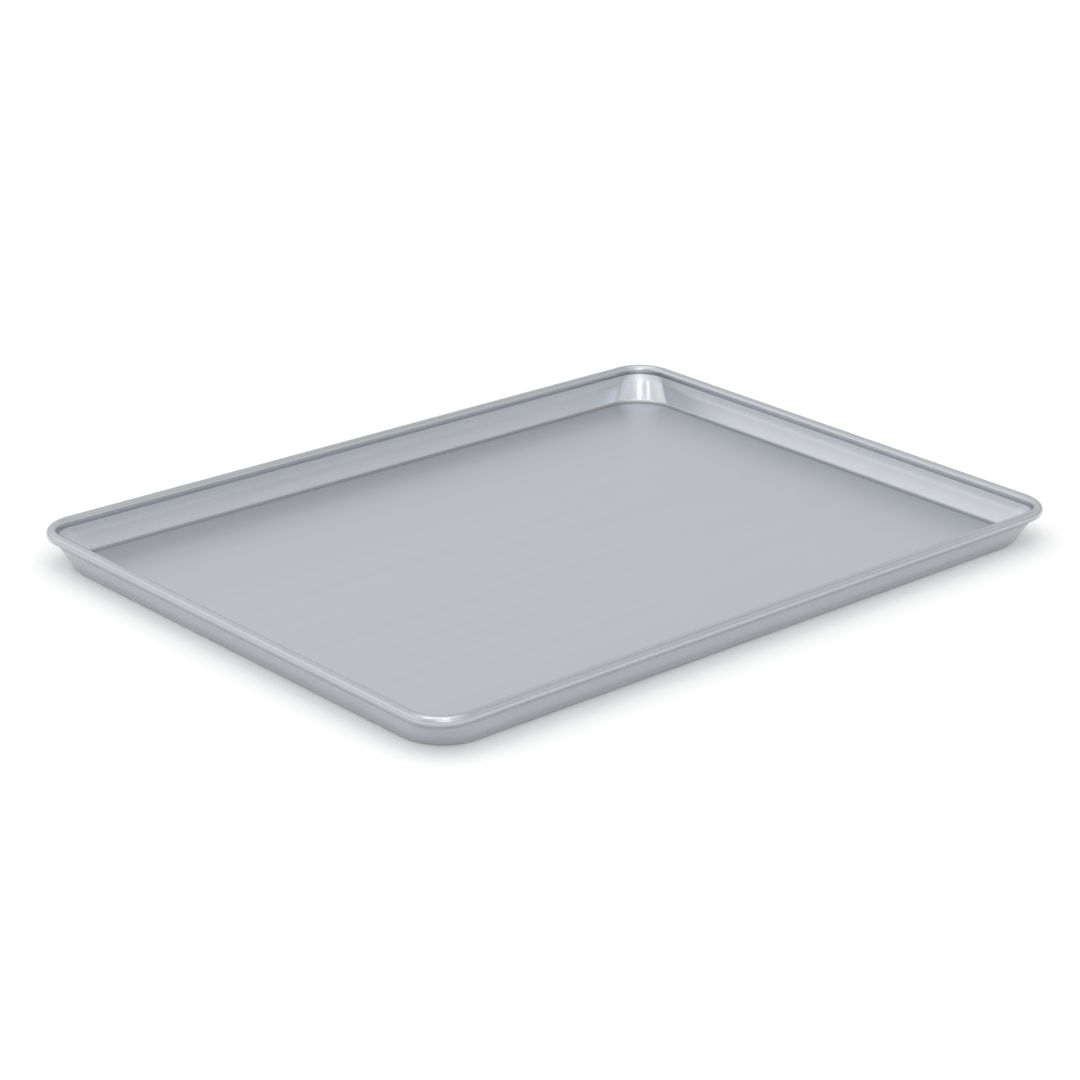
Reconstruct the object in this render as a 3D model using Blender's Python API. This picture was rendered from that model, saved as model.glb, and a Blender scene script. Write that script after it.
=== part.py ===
"""Aluminium sheet pan with a wire-reinforced rolled rim, in metres, +Z up.

The origin is on the ground under the middle of the pan. The long sides run along X. The pan is two
pieces: one drawn sheet, whose edge is rolled outward over a wire, and that wire.

The sheet is made from the cross-section of its food side, which is swept round the pan. The corners
are then widened towards the floor, and the skin gets the sheet's thickness on its underside. In the
section, inset is the distance in from the rim's outermost edge, and height is measured from the
ground. A turn of 0 faces level into the pan, and a quarter turn faces up.
"""

from math import acos, ceil, copysign, cos, pi, radians, sin

import bmesh
import bpy
from mathutils import Vector

# Size over the rim
LENGTH = 0.546
WIDTH = 0.394
DEPTH = 0.0254

# Sheet
SHEET_THICKNESS = 0.0010
FLOOR_FILLET = 0.0030  # inside radius between floor and wall
WALL_FLARE = radians(18)  # lean of the walls from upright
RIM_CORNER = 0.027  # corner radius of the rim's outer edge, seen from above
FLOOR_CORNER = 0.030  # corner radius of the floor's edge, seen from above

# Wire and the bead rolled round it
ROD_DIAMETER = 0.0044
ROD_CLEARANCE = 0.0003
ROD_BUTT_GAP = 0.0010  # between the wire's two ends
BEAD_PROUD = 0.0020  # how far the bead bulges in past the wall
NECK_RADIUS = 0.0010  # inside bend between wall and bead
BEAD_LIP_GAP = 0.0004  # between the end of the rolled edge and the wall

# Fineness of the round parts
CORNER_STEP = radians(9)
FILLET_STEP = radians(15)
NECK_STEP = radians(20)
BEAD_STEP = radians(15)
ROD_BEVEL_RESOLUTION = 4
SMOOTH_ANGLE = radians(30)

MERGE_DISTANCE = 0.000001  # joins the sweep's end to its start

UP = Vector((0, 0, 1))
ACROSS = Vector((0, 1, 0))

BEAD_RADIUS = ROD_DIAMETER / 2 + ROD_CLEARANCE + SHEET_THICKNESS
CORNER_FACETS = round(pi / 2 / CORNER_STEP)

# Centres of the corners seen from above, anticlockwise from the one at +X and +Y
STRAIGHT_X = LENGTH / 2 - RIM_CORNER
STRAIGHT_Y = WIDTH / 2 - RIM_CORNER
CORNER_CENTRES = [
    Vector((STRAIGHT_X, STRAIGHT_Y, 0)),
    Vector((-STRAIGHT_X, STRAIGHT_Y, 0)),
    Vector((-STRAIGHT_X, -STRAIGHT_Y, 0)),
    Vector((STRAIGHT_X, -STRAIGHT_Y, 0)),
]


def clear_scene():
    for scene_object in list(bpy.data.objects):
        bpy.data.objects.remove(scene_object, do_unlink=True)


def make_material(name, color, metallic, roughness):
    material = bpy.data.materials.new(name)
    material.use_nodes = True
    shader = material.node_tree.nodes["Principled BSDF"]
    shader.inputs["Base Color"].default_value = (*color, 1)
    shader.inputs["Metallic"].default_value = metallic
    shader.inputs["Roughness"].default_value = roughness
    return material


def arc(centre, across, radius, start, end, step):
    """Points of an arc, both ends included, with turns at most a step apart.

    A turn of 0 is along +X, and a quarter turn is along across.
    """
    count = ceil(round(abs(end - start) / step, 6))
    turns = [start + (end - start) * i / count for i in range(count + 1)]
    return [centre + (Vector((cos(turn), 0, 0)) + across * sin(turn)) * radius for turn in turns]


def sheet_section():
    """The sheet's food side: the floor fillet up to the wall, and the rim from the wall's top to the lip.

    X is the inset, and Z is the height.
    """
    bead = Vector((BEAD_RADIUS, 0, DEPTH - BEAD_RADIUS))
    wall_reach = BEAD_RADIUS - BEAD_PROUD  # from the bead's centre square out to the wall's food side

    fillet_height = SHEET_THICKNESS + FLOOR_FILLET
    drop = bead.z - fillet_height
    fillet_inset = bead.x + (wall_reach + FLOOR_FILLET + drop * sin(WALL_FLARE)) / cos(WALL_FLARE)
    fillet_centre = Vector((fillet_inset, 0, fillet_height))

    bead_start = WALL_FLARE - acos((wall_reach + NECK_RADIUS) / (BEAD_RADIUS + NECK_RADIUS))
    neck_way = Vector((cos(bead_start), 0, sin(bead_start)))
    neck_centre = bead + neck_way * (BEAD_RADIUS + NECK_RADIUS)

    lip_reach = wall_reach - SHEET_THICKNESS - BEAD_LIP_GAP
    lip_turn = 2 * pi + WALL_FLARE - acos(lip_reach / BEAD_RADIUS)

    fillet = arc(fillet_centre, UP, -FLOOR_FILLET, pi / 2, WALL_FLARE, FILLET_STEP)
    neck = arc(neck_centre, UP, -NECK_RADIUS, WALL_FLARE, bead_start, NECK_STEP)
    food_side = arc(bead, UP, BEAD_RADIUS, bead_start, pi / 2, BEAD_STEP)
    outer_side = arc(bead, UP, BEAD_RADIUS, pi / 2, pi, BEAD_STEP)
    underside = arc(bead, UP, BEAD_RADIUS, pi, lip_turn, BEAD_STEP)
    return fillet, neck + food_side[1:] + outer_side[1:] + underside[1:]


def round_floor_corners(mesh, floor_edge, wall_top):
    """Widens the corners down the wall, from the rim's own curve to the floor's corner radius.

    A corner's radius grows by as much as its centre moves in along both sides, so the sides stay put
    and their ends slide along them.
    """
    widest = FLOOR_CORNER - (RIM_CORNER - floor_edge.x)
    for vert in mesh.verts:
        down = max(0, wall_top.z - vert.co.z) / (wall_top.z - floor_edge.z)
        beside = Vector((copysign(STRAIGHT_X, vert.co.x), copysign(STRAIGHT_Y, vert.co.y), vert.co.z))
        outward = (vert.co - beside).normalized()
        diagonal = Vector((copysign(1, vert.co.x), copysign(1, vert.co.y), 0))
        vert.co += (outward - diagonal) * widest * down**2


def make_pan_body():
    """Sweeps the section along each side and round the corner after it, then fills the floor."""
    mesh = bmesh.new()
    start = CORNER_CENTRES[-1]
    fillet, rim = sheet_section()
    points = [mesh.verts.new(start + Vector((RIM_CORNER - at.x, 0, at.z))) for at in fillet + rim]
    line = [mesh.edges.new(pair) for pair in zip(points, points[1:])]
    for corner in CORNER_CENTRES:
        side = bmesh.ops.extrude_edge_only(mesh, edges=line)["geom"]
        points = [item for item in side if isinstance(item, bmesh.types.BMVert)]
        line = [item for item in side if isinstance(item, bmesh.types.BMEdge)]
        bmesh.ops.translate(mesh, verts=points, vec=corner - start)
        turned = bmesh.ops.spin(
            mesh, geom=points + line, cent=corner, axis=(0, 0, 1), angle=pi / 2, steps=CORNER_FACETS
        )["geom_last"]
        line = [item for item in turned if isinstance(item, bmesh.types.BMEdge)]
        start = corner
    bmesh.ops.remove_doubles(mesh, verts=mesh.verts, dist=MERGE_DISTANCE)
    round_floor_corners(mesh, fillet[0], rim[0])

    floor_height = fillet[0].z + MERGE_DISTANCE
    floor_edges = [edge for edge in mesh.edges if all(vert.co.z < floor_height for vert in edge.verts)]
    floor = bmesh.ops.contextual_create(mesh, geom=floor_edges)["faces"][0]
    bmesh.ops.recalc_face_normals(mesh, faces=mesh.faces)
    if floor.normal.z < 0:
        bmesh.ops.reverse_faces(mesh, faces=mesh.faces)

    data = bpy.data.meshes.new("pan_body")
    mesh.to_mesh(data)
    mesh.free()
    data.shade_smooth()
    data.set_sharp_from_angle(angle=SMOOTH_ANGLE)
    pan = bpy.data.objects.new("pan_body", data)
    bpy.context.scene.collection.objects.link(pan)

    sheet = pan.modifiers.new("sheet", "SOLIDIFY")
    sheet.thickness = SHEET_THICKNESS
    sheet.offset = -1
    sheet.use_even_offset = True
    return pan


def make_rim_rod():
    """The wire lies on the bead's centre line and is cut at the middle of the side at +Y."""
    bead_height = DEPTH - BEAD_RADIUS
    route = [Vector((-ROD_BUTT_GAP / 2, WIDTH / 2 - BEAD_RADIUS, bead_height))]
    for quarter in (1, 2, 3, 4):
        centre = CORNER_CENTRES[quarter % len(CORNER_CENTRES)] + UP * bead_height
        start = quarter * pi / 2
        route += arc(centre, ACROSS, RIM_CORNER - BEAD_RADIUS, start, start + pi / 2, CORNER_STEP)
    route += [Vector((ROD_BUTT_GAP / 2, WIDTH / 2 - BEAD_RADIUS, bead_height))]

    wire = bpy.data.curves.new("rim_rod", "CURVE")
    wire.dimensions = "3D"
    wire.bevel_depth = ROD_DIAMETER / 2
    wire.bevel_resolution = ROD_BEVEL_RESOLUTION
    wire.use_fill_caps = True
    spline = wire.splines.new("POLY")
    spline.points.add(len(route) - 1)
    for point, place in zip(spline.points, route):
        point.co = place.to_4d()
    rod = bpy.data.objects.new("rim_rod", wire)
    bpy.context.scene.collection.objects.link(rod)
    return rod


def main():
    clear_scene()
    aluminium = make_material("rolled aluminium", (0.60, 0.62, 0.64), 1.0, 0.38)
    galvanised = make_material("galvanised steel", (0.48, 0.50, 0.51), 1.0, 0.50)
    make_pan_body().data.materials.append(aluminium)
    make_rim_rod().data.materials.append(galvanised)


main()
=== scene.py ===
"""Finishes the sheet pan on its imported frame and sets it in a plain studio.

Sizes and colours are scene properties. The pan, the wire in its rim and the studio each have an
operator, and a panel in the sidebar lists them. Lengths are in metres and +Z is up. The origin is
on the ground under the middle of the pan, and the long sides run along X.
"""

from math import acos, ceil, copysign, cos, pi, radians, sin

import bmesh
import bpy
from mathutils import Matrix, Vector


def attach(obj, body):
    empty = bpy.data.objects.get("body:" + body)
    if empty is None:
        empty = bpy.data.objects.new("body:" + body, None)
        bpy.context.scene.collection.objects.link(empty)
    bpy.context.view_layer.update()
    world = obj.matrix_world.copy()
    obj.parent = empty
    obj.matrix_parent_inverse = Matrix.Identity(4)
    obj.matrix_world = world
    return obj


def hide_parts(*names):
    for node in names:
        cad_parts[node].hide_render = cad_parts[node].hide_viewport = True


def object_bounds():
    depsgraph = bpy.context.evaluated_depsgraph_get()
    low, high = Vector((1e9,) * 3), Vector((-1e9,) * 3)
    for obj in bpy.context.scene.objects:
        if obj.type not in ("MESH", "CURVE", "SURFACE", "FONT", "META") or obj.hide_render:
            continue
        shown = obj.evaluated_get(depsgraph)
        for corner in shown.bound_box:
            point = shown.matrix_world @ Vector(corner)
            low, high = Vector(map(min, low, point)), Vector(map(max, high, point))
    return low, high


bl_info = {
    "name": "Sheet Pan",
    "version": (1, 0, 0),
    "blender": (4, 5, 0),
    "location": "3D View > Sidebar > Sheet Pan",
    "description": "Aluminium sheet pan with a wire-reinforced rolled rim, in a plain studio",
    "category": "Object",
}

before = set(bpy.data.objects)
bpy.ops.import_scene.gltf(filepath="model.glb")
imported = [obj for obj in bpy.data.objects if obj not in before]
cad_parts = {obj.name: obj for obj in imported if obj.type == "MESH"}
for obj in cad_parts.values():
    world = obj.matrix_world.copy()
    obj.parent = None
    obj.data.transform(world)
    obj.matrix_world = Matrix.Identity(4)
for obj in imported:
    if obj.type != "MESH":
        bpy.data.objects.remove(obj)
FRAME_LOW, FRAME_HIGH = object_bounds()

MILLIMETRE = 0.001


# Sizes and colours


class PanSizes(bpy.types.PropertyGroup):
    """Sizes of the drawn sheet and of the wire in its rim"""

    length: bpy.props.FloatProperty(
        name="Length", description="Length over the rim",
        default=FRAME_HIGH.x - FRAME_LOW.x, unit="LENGTH"
    )
    width: bpy.props.FloatProperty(
        name="Width", description="Width over the rim",
        default=FRAME_HIGH.y - FRAME_LOW.y, unit="LENGTH"
    )
    depth: bpy.props.FloatProperty(
        name="Depth", description="Height of the rim's top above the ground",
        default=FRAME_HIGH.z - FRAME_LOW.z, unit="LENGTH"
    )
    thickness: bpy.props.FloatProperty(
        name="Sheet thickness", description="Gauge of the aluminium sheet",
        default=1.0 * MILLIMETRE, unit="LENGTH"
    )
    rim_corner: bpy.props.FloatProperty(
        name="Rim corner", description="Corner radius of the rim's outer edge, seen from above",
        default=27 * MILLIMETRE, unit="LENGTH"
    )
    floor_corner: bpy.props.FloatProperty(
        name="Floor corner", description="Corner radius of the floor's edge, seen from above",
        default=30 * MILLIMETRE, unit="LENGTH"
    )
    floor_fillet: bpy.props.FloatProperty(
        name="Floor fillet", description="Inside radius between the floor and the wall",
        default=3 * MILLIMETRE, unit="LENGTH"
    )
    wall_flare: bpy.props.FloatProperty(
        name="Wall flare", description="Lean of the walls from upright",
        default=radians(18), subtype="ANGLE"
    )
    wire: bpy.props.FloatProperty(
        name="Wire", description="Diameter of the wire in the rim",
        default=4.4 * MILLIMETRE, unit="LENGTH"
    )
    wire_clearance: bpy.props.FloatProperty(
        name="Wire clearance", description="Room between the wire and the sheet rolled round it",
        default=0.3 * MILLIMETRE, unit="LENGTH"
    )
    bead_proud: bpy.props.FloatProperty(
        name="Bead proud", description="How far the rolled bead bulges in past the wall",
        default=2.0 * MILLIMETRE, unit="LENGTH"
    )
    neck_radius: bpy.props.FloatProperty(
        name="Neck radius", description="Inside bend between the wall and the bead",
        default=1.0 * MILLIMETRE, unit="LENGTH"
    )
    lip_gap: bpy.props.FloatProperty(
        name="Lip gap", description="Slit between the end of the rolled edge and the wall",
        default=0.4 * MILLIMETRE, unit="LENGTH"
    )


class PanFinish(bpy.types.PropertyGroup):
    """Colours of the two metals, and of the shade painted into the sheet's bends"""

    sheet: bpy.props.StringProperty(
        name="Aluminium", description="sRGB hex colour of the mill-finish sheet", default="C9CCD0"
    )
    sheet_grain: bpy.props.StringProperty(
        name="Aluminium grain", description="sRGB hex colour of the sheet's darker rolling lines",
        default="C7CACE"
    )
    # Painted shade: a darker colour laid into the sheet's bends, where shade falls
    painted_shade: bpy.props.StringProperty(
        name="Painted shade", description="sRGB hex colour of the dull shade in the sheet's bends",
        default="9A9DA0"
    )
    zinc: bpy.props.StringProperty(
        name="Zinc", description="sRGB hex colour of the wire's zinc coat", default="A9AEB1"
    )
    zinc_spangle: bpy.props.StringProperty(
        name="Zinc spangle", description="sRGB hex colour of the coat's paler crystals",
        default="BCC0C2"
    )


class Studio(bpy.types.PropertyGroup):
    """Paper floor that the pan stands on"""

    floor: bpy.props.StringProperty(
        name="Floor", description="sRGB hex colour of the floor's white paper", default="F6F6F6"
    )
    floor_reach: bpy.props.FloatProperty(
        name="Floor reach", description="Distance from the pan to the floor's edge",
        default=12, unit="LENGTH"
    )


# Helpers

# Sockets of a Mix node that mixes colours
MIX_FACTOR, MIX_FROM, MIX_TO, MIX_RESULT = 0, 6, 7, 2


def linear(hex_color):
    """Turns an sRGB hex colour to linear RGBA."""
    parts = [int(hex_color[i : i + 2], 16) / 255 for i in (0, 2, 4)]
    curve = [part / 12.92 if part <= 0.04045 else ((part + 0.055) / 1.055) ** 2.4 for part in parts]
    return (*curve, 1)


def add_node(tree, kind, inputs=None, **settings):
    """Adds a node, gives it its settings, and fills its sockets with values or other outputs."""
    node = tree.nodes.new(kind)
    for name, value in settings.items():
        setattr(node, name, value)
    for socket, value in (inputs or {}).items():
        if isinstance(value, bpy.types.NodeSocket):
            tree.links.new(value, node.inputs[socket])
        else:
            node.inputs[socket].default_value = value
    return node


def shape_ramp(ramp, stops):
    """Gives a ramp node grey stops: place, level."""
    elements = ramp.color_ramp.elements
    while len(elements) < len(stops):
        elements.new(0.5)
    for element, (place, grey) in zip(elements, stops):
        element.position = place
        element.color = (grey, grey, grey, 1)


def new_material(name):
    """Makes a material with an empty node tree."""
    material = bpy.data.materials.new(name)
    material.use_nodes = True
    material.node_tree.nodes.clear()
    return material


def only(kind, items):
    """Picks the items of one kind from a bmesh operator's mixed result."""
    return [item for item in items if isinstance(item, kind)]


# Shape of the pan

# Turn from point to point round each bend
CORNER_STEP = radians(3)
FILLET_STEP = radians(5)
NECK_STEP = radians(8)
BEAD_STEP = radians(6)

MERGE_DISTANCE = 0.001 * MILLIMETRE

# The sheared edge's blunt corners, and the turn that counts as one
EDGE_BEVEL = 0.15 * MILLIMETRE
EDGE_TURN = radians(60)


def bend(mesh, tip, centre, angle, step):
    """Carries the section's line on round a centre and returns its new end."""
    # Rounded first, so that an angle of whole steps doesn't get one more
    steps = ceil(round(abs(angle) / step, 6))
    turned = bmesh.ops.spin(
        mesh, geom=[tip], cent=centre, axis=(0, 1, 0), angle=angle, steps=steps
    )
    return only(bmesh.types.BMVert, turned["geom_last"])[0]


def draw_section(mesh, sizes):
    """Draws the food side's cross-section, at the near end of the +X side.

    The line starts at the floor's edge, bends up the fillet, runs up the wall, bends in at the neck
    and rolls round the wire. Returns the floor's edge and the wall's top.
    """
    flare = sizes.wall_flare
    bead_radius = sizes.wire / 2 + sizes.wire_clearance + sizes.thickness
    wall_reach = bead_radius - sizes.bead_proud
    bead_centre = Vector((
        sizes.length / 2 - bead_radius,
        sizes.rim_corner - sizes.width / 2,
        sizes.depth - bead_radius,
    ))
    fillet_height = sizes.thickness + sizes.floor_fillet
    drop = bead_centre.z - fillet_height
    fillet_inset = (wall_reach + sizes.floor_fillet + drop * sin(flare)) / cos(flare)
    fillet_centre = bead_centre - Vector((fillet_inset, 0, drop))
    floor_edge = fillet_centre - Vector((0, 0, sizes.floor_fillet))

    neck_turn = acos((wall_reach + sizes.neck_radius) / (bead_radius + sizes.neck_radius))
    to_neck = Vector((-cos(flare - neck_turn), 0, sin(flare - neck_turn)))
    neck_centre = bead_centre + to_neck * (bead_radius + sizes.neck_radius)
    wall_top = neck_centre + Vector((cos(flare), 0, -sin(flare))) * sizes.neck_radius

    # The bead's three turns end at the rim's top, at its outer edge and at the lip
    to_top = pi / 2 - flare + neck_turn
    to_lip = pi + flare - acos((wall_reach - sizes.thickness - sizes.lip_gap) / bead_radius)

    tip = mesh.verts.new(floor_edge)
    tip = bend(mesh, tip, fillet_centre, flare - pi / 2, FILLET_STEP)
    wall_end = bmesh.ops.extrude_vert_indiv(mesh, verts=[tip])["verts"]
    bmesh.ops.translate(mesh, verts=wall_end, vec=wall_top - tip.co)
    tip = bend(mesh, wall_end[0], neck_centre, -neck_turn, NECK_STEP)
    for angle in (to_top, pi / 2, to_lip):
        tip = bend(mesh, tip, bead_centre, angle, BEAD_STEP)
    return floor_edge, wall_top


def measure_section(mesh, run):
    """Notes each point's distance along the sheet from the floor's edge."""
    mesh.verts.ensure_lookup_table()
    for before, after in zip(mesh.verts[:-1], mesh.verts[1:]):
        after[run] = before[run] + (after.co - before.co).length


def sweep_round(mesh, corners):
    """Pulls the section along each side and turns it round the corner after it."""
    line = mesh.edges[:]
    start = corners[-1]
    for corner in corners:
        side = bmesh.ops.extrude_edge_only(mesh, edges=line)["geom"]
        points = only(bmesh.types.BMVert, side)
        line = only(bmesh.types.BMEdge, side)
        bmesh.ops.translate(mesh, verts=points, vec=corner - start)
        turned = bmesh.ops.spin(
            mesh, geom=points + line, cent=corner, axis=(0, 0, 1), angle=pi / 2,
            steps=round(pi / 2 / CORNER_STEP)
        )
        line = only(bmesh.types.BMEdge, turned["geom_last"])
        start = corner
    bmesh.ops.remove_doubles(mesh, verts=mesh.verts, dist=MERGE_DISTANCE)


def fill_floor(mesh, run):
    """Closes the floor with one flat face and turns the skin's faces to the food side."""
    floor_edges = [edge for edge in mesh.edges if all(vert[run] == 0 for vert in edge.verts)]
    floor = bmesh.ops.contextual_create(mesh, geom=floor_edges)["faces"][0]
    bmesh.ops.recalc_face_normals(mesh, faces=mesh.faces)
    if floor.normal.z < 0:
        bmesh.ops.reverse_faces(mesh, faces=mesh.faces)


def diagonal(place):
    """The way out to the corner that a point belongs to, one unit along each side."""
    return Vector((copysign(1, place.x), copysign(1, place.y), 0))


def outward(place, corner):
    """The level direction that a point's side faces, seen from its corner's centre."""
    return (place - corner * diagonal(place)).to_2d().normalized().to_3d()


def map_sheet(mesh, run, corner, floor_centre, floor_corner):
    """Gives the skin two maps for its finish.

    blank is a point's place on the flat sheet before it was drawn, in metres. facing is the level
    direction that its side faces, so it changes only round the corners.
    """
    blank = mesh.loops.layers.uv.new("blank")
    facing = mesh.loops.layers.uv.new("facing")
    for face in mesh.faces:
        for loop in face.loops:
            way = outward(loop.vert.co, corner)
            reach = floor_corner + loop.vert[run]
            loop[blank].uv = (floor_centre * diagonal(loop.vert.co) + way * reach).xy
            loop[facing].uv = way.xy


def round_floor_corners(mesh, corner, wider, floor_height, wall_height):
    """Widens the corners down the wall, from the rim's own curve to the floor's corner radius.

    A corner's radius grows by as much as its centre moves in along both sides, so the sides stay
    put and their ends slide along them. It grows with the square of the way down.
    """
    for vert in mesh.verts:
        down = max(0, wall_height - vert.co.z) / (wall_height - floor_height)
        vert.co += (outward(vert.co, corner) - diagonal(vert.co)) * wider * down**2


def draw_sheet(sizes):
    """Makes the food side's skin, and returns it with the neck's distance along the sheet."""
    corner = Vector(
        (sizes.length / 2 - sizes.rim_corner, sizes.width / 2 - sizes.rim_corner, 0)
    )
    corners = [corner * Vector((x, y, 0)) for x, y in ((1, 1), (-1, 1), (-1, -1), (1, -1))]

    mesh = bmesh.new()
    run = mesh.verts.layers.float.new("run")
    floor_edge, wall_top = draw_section(mesh, sizes)
    measure_section(mesh, run)
    neck_run = min(mesh.verts, key=lambda vert: (vert.co - wall_top).length)[run]
    sweep_round(mesh, corners)
    fill_floor(mesh, run)
    wider = sizes.floor_corner - (floor_edge.x - corner.x)
    map_sheet(mesh, run, corner, corner - Vector((wider, wider, 0)), sizes.floor_corner)
    round_floor_corners(mesh, corner, wider, floor_edge.z, wall_top.z)

    skin = bpy.data.meshes.new("drawn_sheet")
    mesh.to_mesh(skin)
    mesh.free()
    skin.shade_smooth()
    return skin, neck_run


def thicken(pan, thickness):
    """Gives the skin its gauge, on the underside, and finishes its edge and its shading."""
    sheet = pan.modifiers.new("sheet", "SOLIDIFY")
    sheet.thickness = thickness
    sheet.offset = -1
    sheet.use_even_offset = True
    sheet.material_offset = 1
    sheet.material_offset_rim = 1
    # Takes the sharpness off the sheared edge
    edge = pan.modifiers.new("sheared_edge", "BEVEL")
    edge.width = EDGE_BEVEL
    edge.segments = 2
    edge.limit_method = "ANGLE"
    edge.angle_limit = EDGE_TURN
    # Keeps the long flat sides from picking up the bends' shading
    shading = pan.modifiers.new("shading", "WEIGHTED_NORMAL")
    shading.keep_sharp = True


class SHEETPAN_OT_pan(bpy.types.Operator):
    """Draws the sheet to a pan and rolls its edge round the wire"""

    bl_idname = "sheetpan.pan"
    bl_label = "Drawn and rolled sheet"

    def execute(self, context):
        sizes = context.scene.pan_sizes
        finish = context.scene.pan_finish
        skin, neck_run = draw_sheet(sizes)
        for side in (FOOD_SIDE, UNDERSIDE):
            skin.materials.append(aluminium_material(finish, neck_run, *side))
        pan = bpy.data.objects.new("drawn_sheet", skin)
        context.scene.collection.objects.link(pan)
        thicken(pan, sizes.thickness)

        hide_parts("pan_body")
        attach(pan, "root")
        return {"FINISHED"}


# Finish of the sheet

# Places along the section are 0 at the floor's edge and 0.5 at the neck, where the bead begins

# The sheet's two sides: name, painted shade as place and amount, and the sign of the die's waves,
# because what stands proud on the food side is a hollow underneath. The painted shade darkens the
# fillet at the floor's edge inside, the foot and the crease under the bead outside, and the bead's
# underside, where it is a painted reflection of the shadowed ground
FOOD_SIDE = (
    "food side",
    (
        (0, 0), (0.012, 1), (0.06, 1), (0.09, 0), (0.5, 0), (0.56, 0.2), (0.83, 0.2), (0.89, 0.5),
        (0.97, 0.8)
    ),
    1,
)
UNDERSIDE = (
    "underside",
    ((0, 0.15), (0.05, 0.2), (0.14, 0.2), (0.25, 0), (0.38, 0.1), (0.43, 0.6), (0.5, 0.7)),
    -1,
)

# Roughness, as place and roughness: the die burnishes the wall and the bead
ROUGHNESS = ((0, 0.42), (0.1, 0.24), (0.37, 0.22), (0.44, 0.42), (0.5, 0.42), (0.6, 0.27))

# Waves that the die leaves round the walls, as place and height in millimetres
DIE_WAVES = (
    (0.09, 0.205), (0.15, 0.064), (0.19, 0.042), (0.23, 0), (0.29, 0), (0.34, 0.035),
    (0.38, 0.022), (0.42, 0.048), (0.46, 0.126), (0.5, 0.268)
)

# Rolling lines are about 0.1 mm wide, too fine to show, so they are drawn 1 mm wide
LINE_WIDTH = 1 * MILLIMETRE
LINE_LENGTH = 90 * MILLIMETRE
LINE_HEIGHT = 0.0008 * MILLIMETRE

# Faint broad bands that the rolls leave
BAND_WIDTH = 12 * MILLIMETRE
BAND_LENGTH = 500 * MILLIMETRE

# Sums of lines and bands at which the sheet has its darker and its paler colour
DARK_LINES = 0.7
PALE_LINES = 1.2

# How much less rough the pale lines are than the dark ones
LINE_GLOSS = 0.015

# The sheet isn't quite flat: shallow swells
SWELL_WIDTH = 70 * MILLIMETRE
SWELL_HEIGHT = 0.2 * MILLIMETRE

# Puckers in the drawn corners
PUCKER_TURN = radians(9)
PUCKER_HEIGHT = 0.06 * MILLIMETRE


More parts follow.
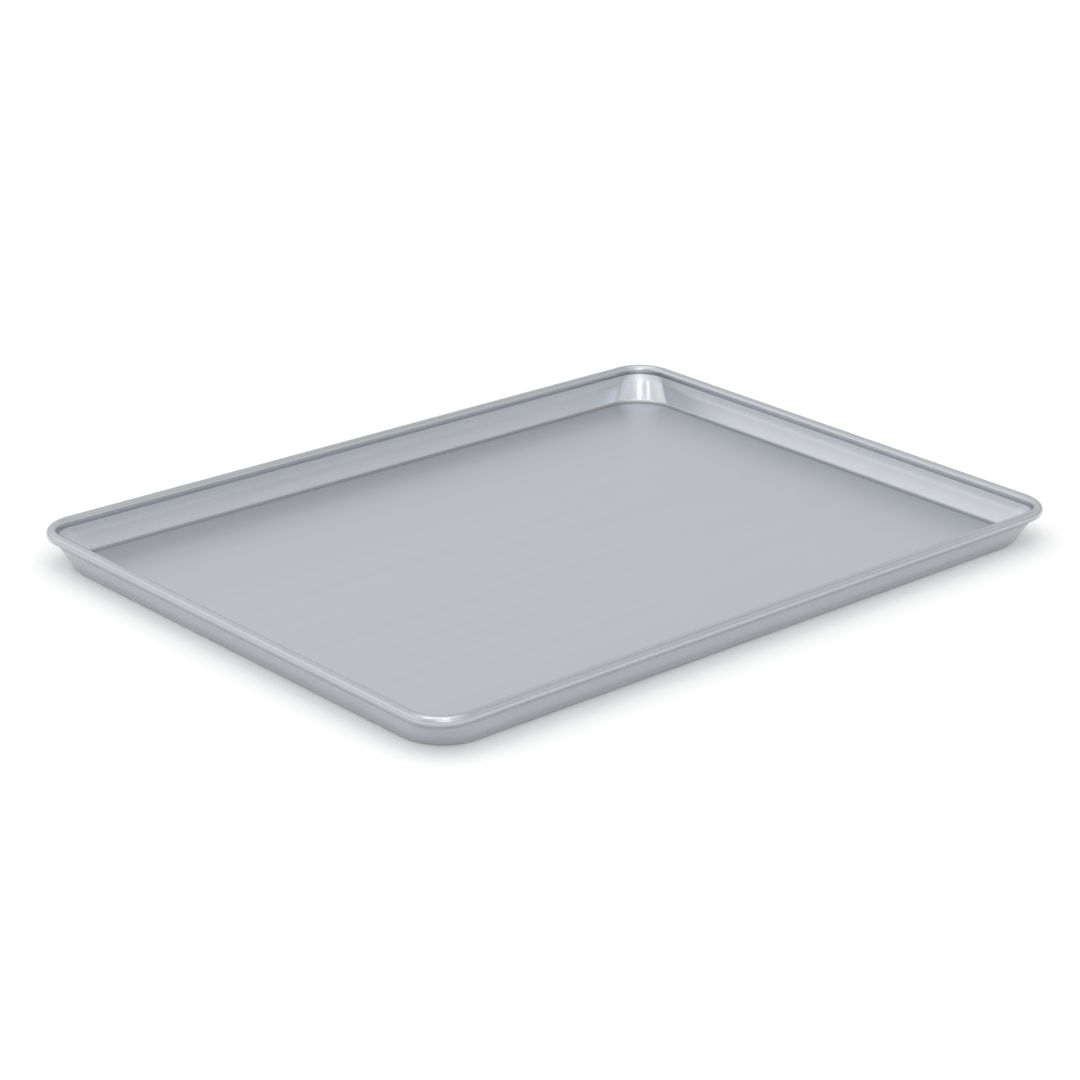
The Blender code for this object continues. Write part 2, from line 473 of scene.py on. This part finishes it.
def aluminium_material(finish, neck_run, side, painted_shade_stops, wave_sign):
    """Cold-rolled aluminium sheet, left in its mill finish and drawn in a die.

    The rolls leave a matt surface with faint lines along the sheet, which follow it up the walls.
    The die burnishes the walls and the rim, and leaves faint waves round them and a little
    puckering in the corners. The bends at the floor's edge and under the rim are darkened with
    painted shade, and the bead's underside with a painted reflection of the shadowed ground.
    """
    material = new_material(f"cold-rolled aluminium, mill finish, {side}")
    tree = material.node_tree
    blank = add_node(tree, "ShaderNodeUVMap", uv_map="blank").outputs["UV"]
    facing = add_node(tree, "ShaderNodeUVMap", uv_map="facing").outputs["UV"]
    run = add_node(tree, "ShaderNodeAttribute", attribute_name="run").outputs["Fac"]

    # Patterns
    along_lines = add_node(
        tree, "ShaderNodeMapping",
        {"Vector": blank, "Scale": (1 / LINE_LENGTH, 1 / LINE_WIDTH, 1)}
    ).outputs["Vector"]
    grain = add_node(
        tree, "ShaderNodeTexNoise", {"Vector": along_lines, "Scale": 1, "Detail": 3},
        noise_dimensions="2D"
    ).outputs["Fac"]
    along_bands = add_node(
        tree, "ShaderNodeMapping",
        {"Vector": blank, "Scale": (1 / BAND_LENGTH, 1 / BAND_WIDTH, 1)}
    ).outputs["Vector"]
    bands = add_node(
        tree, "ShaderNodeTexNoise", {"Vector": along_bands, "Scale": 1, "Detail": 2},
        noise_dimensions="2D"
    ).outputs["Fac"]
    swells = add_node(
        tree, "ShaderNodeTexNoise", {"Vector": blank, "Scale": 1 / SWELL_WIDTH, "Detail": 1},
        noise_dimensions="2D"
    ).outputs["Fac"]
    puckers = add_node(
        tree, "ShaderNodeTexNoise", {"Vector": facing, "Scale": 1 / PUCKER_TURN, "Detail": 1},
        noise_dimensions="2D"
    ).outputs["Fac"]

    # Colour
    lines = add_node(
        tree, "ShaderNodeMath", {0: grain, 1: bands}, operation="ADD"
    ).outputs["Value"]
    tone = add_node(
        tree, "ShaderNodeMapRange", {"Value": lines, "From Min": DARK_LINES, "From Max": PALE_LINES}
    ).outputs["Result"]
    metal = add_node(
        tree, "ShaderNodeMix",
        {MIX_FACTOR: tone, MIX_FROM: linear(finish.sheet_grain), MIX_TO: linear(finish.sheet)},
        data_type="RGBA"
    ).outputs[MIX_RESULT]
    along_section = add_node(
        tree, "ShaderNodeMapRange", {"Value": run, "From Max": 2 * neck_run}
    ).outputs["Result"]
    # Painted shade: a darker colour in the bends along the section, standing in for the shade that
    # falls there
    painted_shade = add_node(tree, "ShaderNodeValToRGB", {"Fac": along_section})
    shape_ramp(painted_shade, painted_shade_stops)
    color = add_node(
        tree, "ShaderNodeMix",
        {MIX_FACTOR: painted_shade.outputs["Color"], MIX_FROM: metal, MIX_TO: linear(finish.painted_shade)},
        data_type="RGBA"
    ).outputs[MIX_RESULT]

    # Roughness
    burnish = add_node(tree, "ShaderNodeValToRGB", {"Fac": along_section})
    shape_ramp(burnish, ROUGHNESS)
    gloss = add_node(
        tree, "ShaderNodeMath", {0: tone, 1: -LINE_GLOSS, 2: burnish.outputs["Color"]},
        operation="MULTIPLY_ADD"
    ).outputs["Value"]

    # Relief
    die_waves = add_node(tree, "ShaderNodeValToRGB", {"Fac": along_section})
    die_waves.color_ramp.interpolation = "B_SPLINE"
    shape_ramp(die_waves, DIE_WAVES)
    height = add_node(
        tree, "ShaderNodeMath", {0: swells, 1: SWELL_HEIGHT}, operation="MULTIPLY"
    ).outputs["Value"]
    for pattern, depth in (
        (grain, LINE_HEIGHT),
        (die_waves.outputs["Color"], wave_sign * MILLIMETRE),
        (puckers, PUCKER_HEIGHT),
    ):
        height = add_node(
            tree, "ShaderNodeMath", {0: pattern, 1: depth, 2: height}, operation="MULTIPLY_ADD"
        ).outputs["Value"]
    relief = add_node(
        tree, "ShaderNodeBump", {"Height": height, "Strength": 1, "Distance": 1}
    ).outputs["Normal"]

    shader = add_node(
        tree, "ShaderNodeBsdfPrincipled",
        {"Base Color": color, "Metallic": 1, "Roughness": gloss, "Normal": relief}
    ).outputs["BSDF"]
    add_node(tree, "ShaderNodeOutputMaterial", {"Surface": shader})
    return material


# Wire

# Crystals of the zinc coat, with dull hollows at their edges
CRYSTAL_WIDTH = 2 * MILLIMETRE
CRYSTAL_RELIEF = 0.02 * MILLIMETRE
DARK_CRYSTAL_ROUGHNESS = 0.55
PALE_CRYSTAL_ROUGHNESS = 0.42


class SHEETPAN_OT_wire(bpy.types.Operator):
    """Gives the wire in the rim its zinc coat"""

    bl_idname = "sheetpan.wire"
    bl_label = "Wire in the rim"

    def execute(self, context):
        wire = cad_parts["rim_rod"]
        wire.data.materials.clear()
        wire.data.materials.append(zinc_material(context.scene.pan_finish))
        return {"FINISHED"}


def zinc_material(finish):
    """Steel wire, hot-dip galvanised: dull grey crystals of zinc with soft edges."""
    material = new_material("hot-dip galvanised steel wire")
    tree = material.node_tree
    place = add_node(tree, "ShaderNodeTexCoord").outputs["Object"]
    crystals = add_node(
        tree, "ShaderNodeTexVoronoi",
        {"Vector": place, "Scale": 1 / CRYSTAL_WIDTH, "Randomness": 1}
    )
    pale = add_node(
        tree, "ShaderNodeSeparateColor", {"Color": crystals.outputs["Color"]}
    ).outputs["Red"]
    color = add_node(
        tree, "ShaderNodeMix",
        {MIX_FACTOR: pale, MIX_FROM: linear(finish.zinc), MIX_TO: linear(finish.zinc_spangle)},
        data_type="RGBA"
    ).outputs[MIX_RESULT]
    gloss = add_node(
        tree, "ShaderNodeMapRange",
        {"Value": pale, "To Min": DARK_CRYSTAL_ROUGHNESS, "To Max": PALE_CRYSTAL_ROUGHNESS}
    ).outputs["Result"]
    height = add_node(
        tree, "ShaderNodeMath", {0: crystals.outputs["Distance"], 1: CRYSTAL_RELIEF},
        operation="MULTIPLY"
    ).outputs["Value"]
    relief = add_node(
        tree, "ShaderNodeBump", {"Height": height, "Strength": 1, "Distance": 1}
    ).outputs["Normal"]
    shader = add_node(
        tree, "ShaderNodeBsdfPrincipled",
        {"Base Color": color, "Metallic": 1, "Roughness": gloss, "Normal": relief}
    ).outputs["BSDF"]
    add_node(tree, "ShaderNodeOutputMaterial", {"Surface": shader})
    return material


# Studio

FLOOR_SEGMENTS = 96

# Tooth of the floor's paper
TOOTH_WIDTH = 2 * MILLIMETRE
TOOTH_HEIGHT = 0.2 * MILLIMETRE
TOOTH_STRENGTH = 0.05

# Glow that takes the lit paper the rest of the way to white
PAPER_LIFT = 0.06

# The room's light: sine of the angle above level, level
ROOM_LEVELS = ((0, 0.27), (0.17, 0.79), (0.35, 0.82), (0.56, 0.88), (0.77, 0.60), (1, 1.40))

# The room's brighter side, a dim part beside the camera and a soft glow over it: degrees clockwise
# from +Y, degrees up, reach in degrees, added level
ROOM_PATCHES = ((-92, 0, 180, 0.36), (-124, 16, 44, -0.30), (-149, 28, 24, 1.00))

# Softboxes: name, degrees clockwise from +Y, degrees up, distance, width, height, watts
SOFTBOXES = (
    ("key softbox", -148, 56, 1.3, 0.10, 0.34, 0.60),
    ("second softbox", -104, 56, 1.3, 0.09, 0.30, 0.30),
)

# The camera as found from the pan's rim and floor lines
CAMERA_PLACE = (-1.266965, -1.335405, 0.729274)
CAMERA_LENS = 101.331  # on the usual 36 mm sensor
CAMERA_YAW = 0.754009  # clockwise from +Y
CAMERA_PITCH = 0.373859  # down from level
CAMERA_ROLL = 0.026318


def towards(azimuth, elevation):
    """The direction at so many degrees clockwise from +Y and so many above level."""
    level = cos(radians(elevation))
    return Vector(
        (level * sin(radians(azimuth)), level * cos(radians(azimuth)), sin(radians(elevation)))
    )


def paper_material(studio):
    """Matt white background paper, with a faint fibrous tooth."""
    material = new_material("matt white background paper")
    tree = material.node_tree
    place = add_node(tree, "ShaderNodeTexCoord").outputs["Object"]
    tooth = add_node(
        tree, "ShaderNodeTexNoise", {"Vector": place, "Scale": 1 / TOOTH_WIDTH, "Detail": 2}
    ).outputs["Fac"]
    relief = add_node(
        tree, "ShaderNodeBump",
        {"Height": tooth, "Strength": TOOTH_STRENGTH, "Distance": TOOTH_HEIGHT}
    ).outputs["Normal"]
    matt = add_node(
        tree, "ShaderNodeBsdfDiffuse", {"Color": linear(studio.floor), "Normal": relief}
    ).outputs["BSDF"]

    # Lifts the paper to white for the camera and in reflections, and leaves the shadow on it
    path = add_node(tree, "ShaderNodeLightPath").outputs
    seen = path["Is Camera Ray"]
    for ray in ("Is Glossy Ray", "Is Transmission Ray"):
        seen = add_node(
            tree, "ShaderNodeMath", {0: seen, 1: path[ray]}, operation="MAXIMUM"
        ).outputs["Value"]
    lift = add_node(
        tree, "ShaderNodeMath", {0: seen, 1: PAPER_LIFT}, operation="MULTIPLY"
    ).outputs["Value"]
    glow = add_node(tree, "ShaderNodeEmission", {"Strength": lift}).outputs["Emission"]
    surface = add_node(tree, "ShaderNodeAddShader", {0: matt, 1: glow}).outputs["Shader"]
    add_node(tree, "ShaderNodeOutputMaterial", {"Surface": surface})
    return material


def lay_floor(scene):
    """Lays a round sheet of white paper on the ground."""
    mesh = bmesh.new()
    bmesh.ops.create_circle(
        mesh, cap_ends=True, segments=FLOOR_SEGMENTS, radius=scene.pan_studio.floor_reach
    )
    paper = bpy.data.meshes.new("floor")
    mesh.to_mesh(paper)
    mesh.free()
    paper.materials.append(paper_material(scene.pan_studio))
    floor = bpy.data.objects.new("floor", paper)
    scene.collection.objects.link(floor)


def light_room(scene):
    """Pale walls that are dimmer near the floor, a dim band above them and a bright ceiling."""
    world = bpy.data.worlds.new("studio room")
    scene.world = world
    world.use_nodes = True
    tree = world.node_tree
    tree.nodes.clear()
    direction = add_node(tree, "ShaderNodeTexCoord").outputs["Generated"]
    up = add_node(tree, "ShaderNodeSeparateXYZ", {"Vector": direction}).outputs["Z"]
    ramp = add_node(tree, "ShaderNodeValToRGB", {"Fac": up})
    shape_ramp(ramp, ROOM_LEVELS)
    level = ramp.outputs["Color"]
    for azimuth, elevation, reach, added in ROOM_PATCHES:
        nearness = add_node(
            tree, "ShaderNodeVectorMath", {0: direction, 1: towards(azimuth, elevation)},
            operation="DOT_PRODUCT"
        ).outputs["Value"]
        patch = add_node(
            tree, "ShaderNodeMapRange",
            {"Value": nearness, "From Min": cos(radians(reach)), "To Max": added},
            interpolation_type="SMOOTHSTEP"
        ).outputs["Result"]
        level = add_node(
            tree, "ShaderNodeMath", {0: level, 1: patch}, operation="ADD"
        ).outputs["Value"]
    glow = add_node(tree, "ShaderNodeBackground", {"Color": (1, 1, 1, 1), "Strength": level})
    add_node(tree, "ShaderNodeOutputWorld", {"Surface": glow.outputs["Background"]})


def place_softbox(scene, name, azimuth, elevation, distance, width, height, watts):
    """Hangs a rectangular lamp that faces the pan's middle."""
    lamp = bpy.data.lights.new(name, "AREA")
    lamp.shape = "RECTANGLE"
    lamp.size = width
    lamp.size_y = height
    lamp.energy = watts
    softbox = bpy.data.objects.new(name, lamp)
    softbox.location = towards(azimuth, elevation) * distance
    softbox.rotation_euler = softbox.location.to_track_quat("Z", "Y").to_euler()
    scene.collection.objects.link(softbox)


def place_camera(scene):
    """Sets up the camera and makes it the scene's own."""
    lens = bpy.data.cameras.new("camera")
    lens.lens = CAMERA_LENS
    camera = bpy.data.objects.new("camera", lens)
    camera.matrix_world = (
        Matrix.Translation(CAMERA_PLACE)
        @ Matrix.Rotation(-CAMERA_YAW, 4, "Z")
        @ Matrix.Rotation(pi / 2 - CAMERA_PITCH, 4, "X")
        @ Matrix.Rotation(CAMERA_ROLL, 4, "Z")
    )
    scene.collection.objects.link(camera)
    bpy.context.scene.camera = camera


class SHEETPAN_OT_studio(bpy.types.Operator):
    """Lays the white floor, lights the room and sets up the camera"""

    bl_idname = "sheetpan.studio"
    bl_label = "Studio"

    def execute(self, context):
        scene = context.scene
        lay_floor(scene)
        light_room(scene)
        for softbox in SOFTBOXES:
            place_softbox(scene, *softbox)
        place_camera(scene)
        scene.view_settings.view_transform = "Standard"
        return {"FINISHED"}


# Panel


class SHEETPAN_PT_steps(bpy.types.Panel):
    """Sizes, colours and steps of the sheet pan"""

    bl_idname = "SHEETPAN_PT_steps"
    bl_label = "Sheet Pan"
    bl_space_type = "VIEW_3D"
    bl_region_type = "UI"
    bl_category = "Sheet Pan"

    def draw(self, context):
        layout = self.layout
        scene = context.scene
        for group in (scene.pan_sizes, scene.pan_finish, scene.pan_studio):
            box = layout.box()
            for name in group.__annotations__:
                box.prop(group, name)
        for step in STEPS:
            layout.operator(step.bl_idname)


STEPS = (SHEETPAN_OT_pan, SHEETPAN_OT_wire, SHEETPAN_OT_studio)
CLASSES = (PanSizes, PanFinish, Studio, *STEPS, SHEETPAN_PT_steps)


def register():
    for item in CLASSES:
        bpy.utils.register_class(item)
    bpy.types.Scene.pan_sizes = bpy.props.PointerProperty(type=PanSizes)
    bpy.types.Scene.pan_finish = bpy.props.PointerProperty(type=PanFinish)
    bpy.types.Scene.pan_studio = bpy.props.PointerProperty(type=Studio)


def unregister():
    del bpy.types.Scene.pan_studio
    del bpy.types.Scene.pan_finish
    del bpy.types.Scene.pan_sizes
    for item in reversed(CLASSES):
        bpy.utils.unregister_class(item)


def main():
    """Makes the pan, its wire and the studio."""
    register()
    bpy.ops.sheetpan.pan()
    bpy.ops.sheetpan.wire()
    bpy.ops.sheetpan.studio()


if __name__ == "__main__":
    main()
